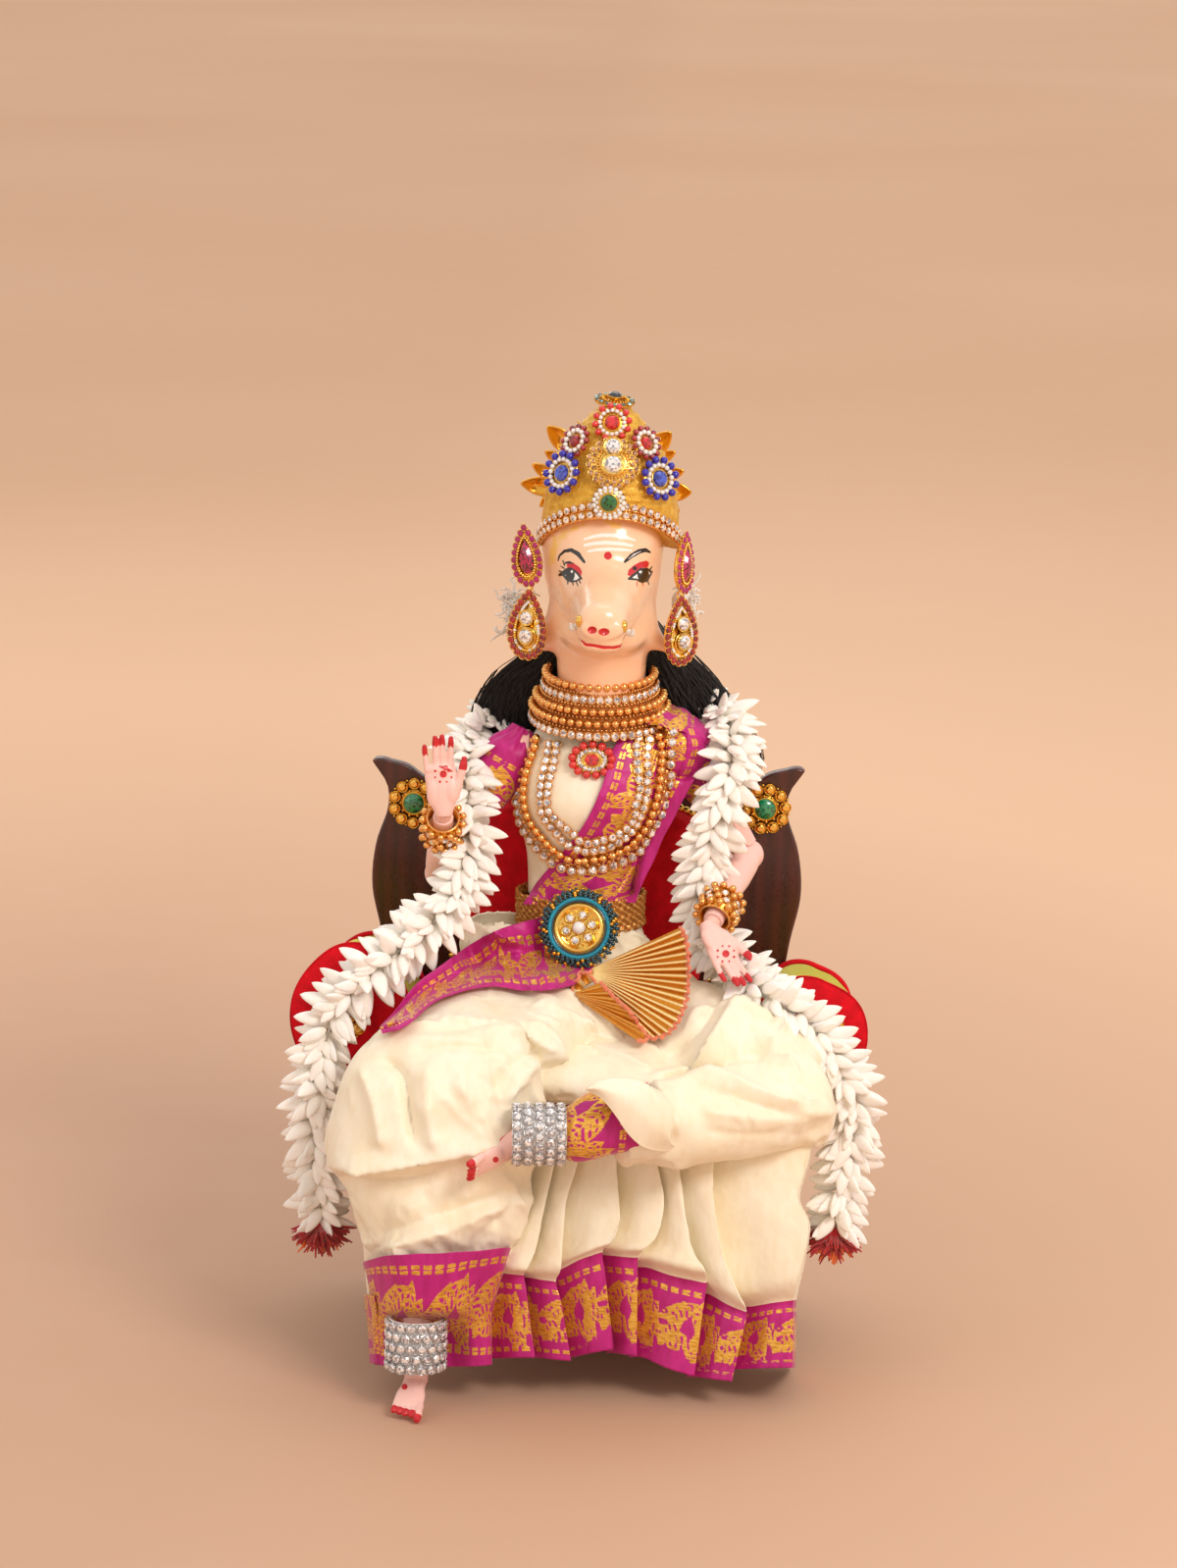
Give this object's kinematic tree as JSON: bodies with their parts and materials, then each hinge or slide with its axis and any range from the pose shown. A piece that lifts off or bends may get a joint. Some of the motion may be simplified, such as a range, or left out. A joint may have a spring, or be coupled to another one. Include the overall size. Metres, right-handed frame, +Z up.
{
  "type": "deity doll",
  "caption": "Seated boar-faced deity doll with jointed arms in a cream and magenta silk saree, with beaded jewellery and white flower garlands, on a small cushioned throne.",
  "frame": {"origin": "middle of the underside of the throne seat base, where it rests on the floor", "axes": "+Z up, front of the doll towards -Y, the left side of the doll towards +X"},
  "size_m": [0.1824, 0.1421, 0.2995],
  "materials": {
    "lacquered_wood": "maroon lacquer, glossy",
    "red_velvet": "short red pile",
    "lime_velvet": "short yellow-green pile",
    "gold_bead_green_stone": "gold beads round a green stone",
    "skin_plastic": "satin moulded doll plastic",
    "painted_face": "glossy enamel paint",
    "cream_silk": "soft sheen silk with a woven border",
    "magenta_silk": "woven border silk with gold thread",
    "gold_fabric": "pleated metallic thread fabric",
    "gold_bead": "gold coloured beads and clear stones",
    "clear_stone": "clear stones in silver cups",
    "teal_bead": "teal beads and gold rings",
    "crown_gold": "textured gold paint",
    "mirror_gold": "mirror gold leaf shapes",
    "green_stone": "green stone and white beads",
    "red_stone": "red beads and stone",
    "blue_stone": "blue beads and stone",
    "pink_stone": "pink beads",
    "black_hair": "loose black fibre",
    "white_flower": "strung white buds"
  },
  "bodies": {
    "throne_and_body": {"seat_base": "lacquered_wood", "seat_cushion": "red_velvet", "back_board": "lacquered_wood", "back_cushion": "red_velvet", "arm_left": "lime_velvet", "arm_right": "lime_velvet", "arm_panel_left": "red_velvet", "arm_panel_right": "red_velvet", "back_brooch_left": "gold_bead_green_stone", "back_brooch_right": "gold_bead_green_stone", "arm_brooch_left": "gold_bead_green_stone", "arm_brooch_right": "gold_bead_green_stone", "chest": "skin_plastic", "pelvis": "skin_plastic", "thigh_right": "skin_plastic", "thigh_left": "skin_plastic", "shin_right": "skin_plastic", "shin_left": "skin_plastic", "anklet_right": "clear_stone", "anklet_left": "clear_stone", "saree_right_leg": "cream_silk", "saree_left_leg": "cream_silk", "saree_pleats": "cream_silk", "blouse": "cream_silk", "pallu": "magenta_silk", "belt": "gold_fabric", "belt_brooch": "teal_bead", "waist_fan": "gold_fabric", "sash": "magenta_silk", "choker": "gold_bead", "long_necklace": "gold_bead", "pendant": "red_stone", "hair_fall": "black_hair", "garland_right": "white_flower", "garland_left": "white_flower"},
    "head": {"head": "painted_face", "crown": "crown_gold", "petal_crest": "mirror_gold", "brow_brooch": "green_stone", "crown_brooch_gold": "gold_bead", "crown_brooch_red": "red_stone", "crown_brooch_blue_right": "blue_stone", "crown_brooch_blue_left": "blue_stone", "crown_top_brooch": "teal_bead", "ear_brooch_right": "pink_stone", "ear_brooch_left": "pink_stone"},
    "right_drop_earring": {"drop_earring_right": "gold_bead"},
    "left_drop_earring": {"drop_earring_left": "gold_bead"},
    "right_upper_arm": {"upper_arm_right": "skin_plastic"},
    "right_forearm": {"forearm_right": "skin_plastic", "bangle_right": "gold_bead"},
    "right_wrist": {"wrist_peg_right": "skin_plastic"},
    "right_hand": {"hand_right": "skin_plastic"},
    "right_foot": {"foot_right": "skin_plastic"},
    "left_upper_arm": {"upper_arm_left": "skin_plastic"},
    "left_forearm": {"forearm_left": "skin_plastic", "bangle_left": "gold_bead"},
    "left_wrist": {"wrist_peg_left": "skin_plastic"},
    "left_hand": {"hand_left": "skin_plastic"},
    "left_foot": {"foot_left": "skin_plastic"}
  },
  "joints": [
    {"name": "head_turn", "type": "hinge", "parent": "throne_and_body", "child": "head", "pos_m": [0.0055, 0.0046, 0.206], "axis": [0, 0, 1], "range_deg": [-20, 20]},
    {"name": "right_drop_swing", "type": "hinge", "parent": "head", "child": "right_drop_earring", "pos_m": [-0.0192, -0.0065, 0.239], "axis": [-0.8924, 0.4512, 0], "range_deg": [-4, 25]},
    {"name": "left_drop_swing", "type": "hinge", "parent": "head", "child": "left_drop_earring", "pos_m": [0.0276, -0.0075, 0.2384], "axis": [-0.6919, -0.722, 0], "range_deg": [-4, 25]},
    {"name": "right_shoulder", "type": "hinge", "parent": "throne_and_body", "child": "right_upper_arm", "pos_m": [-0.024, 0.004, 0.187], "axis": [1, 0, 0], "range_deg": [-20, 4]},
    {"name": "right_elbow", "type": "hinge", "parent": "right_upper_arm", "child": "right_forearm", "pos_m": [-0.046, -0.003, 0.148], "axis": [1, 0, 0], "range_deg": [-15, 4]},
    {"name": "right_wrist_turn", "type": "hinge", "parent": "right_forearm", "child": "right_wrist", "pos_m": [-0.0432, -0.032, 0.1745], "axis": [0.0711, -0.7363, 0.6729], "range_deg": [-40, 40]},
    {"name": "right_wrist_bend", "type": "hinge", "parent": "right_wrist", "child": "right_hand", "pos_m": [-0.0432, -0.032, 0.1745], "axis": [0.9927, 0.1198, 0.0139], "range_deg": [-6, 25]},
    {"name": "left_shoulder", "type": "hinge", "parent": "throne_and_body", "child": "left_upper_arm", "pos_m": [0.031, 0.004, 0.187], "axis": [1, 0, 0], "range_deg": [-15, 0]},
    {"name": "left_elbow", "type": "hinge", "parent": "left_upper_arm", "child": "left_forearm", "pos_m": [0.0505, 0.005, 0.1545], "axis": [1, 0, 0], "range_deg": [-15, 0]},
    {"name": "left_wrist_turn", "type": "hinge", "parent": "left_forearm", "child": "left_wrist", "pos_m": [0.039, -0.03, 0.139], "axis": [-0.2877, -0.8757, -0.3878], "range_deg": [0, 40]},
    {"name": "left_wrist_bend", "type": "hinge", "parent": "left_wrist", "child": "left_hand", "pos_m": [0.039, -0.03, 0.139], "axis": [-0.8179, -0.568, -0.0916], "range_deg": [0, 22]},
    {"name": "right_ankle", "type": "hinge", "parent": "throne_and_body", "child": "right_foot", "pos_m": [-0.0463, -0.0845, 0.017], "axis": [-1, 0, 0], "range_deg": [0, 10]},
    {"name": "left_ankle", "type": "hinge", "parent": "throne_and_body", "child": "left_foot", "pos_m": [-0.0135, -0.0886, 0.0886], "axis": [0.453, -0.1007, 0.8858], "range_deg": [0, 6]}
  ]
}
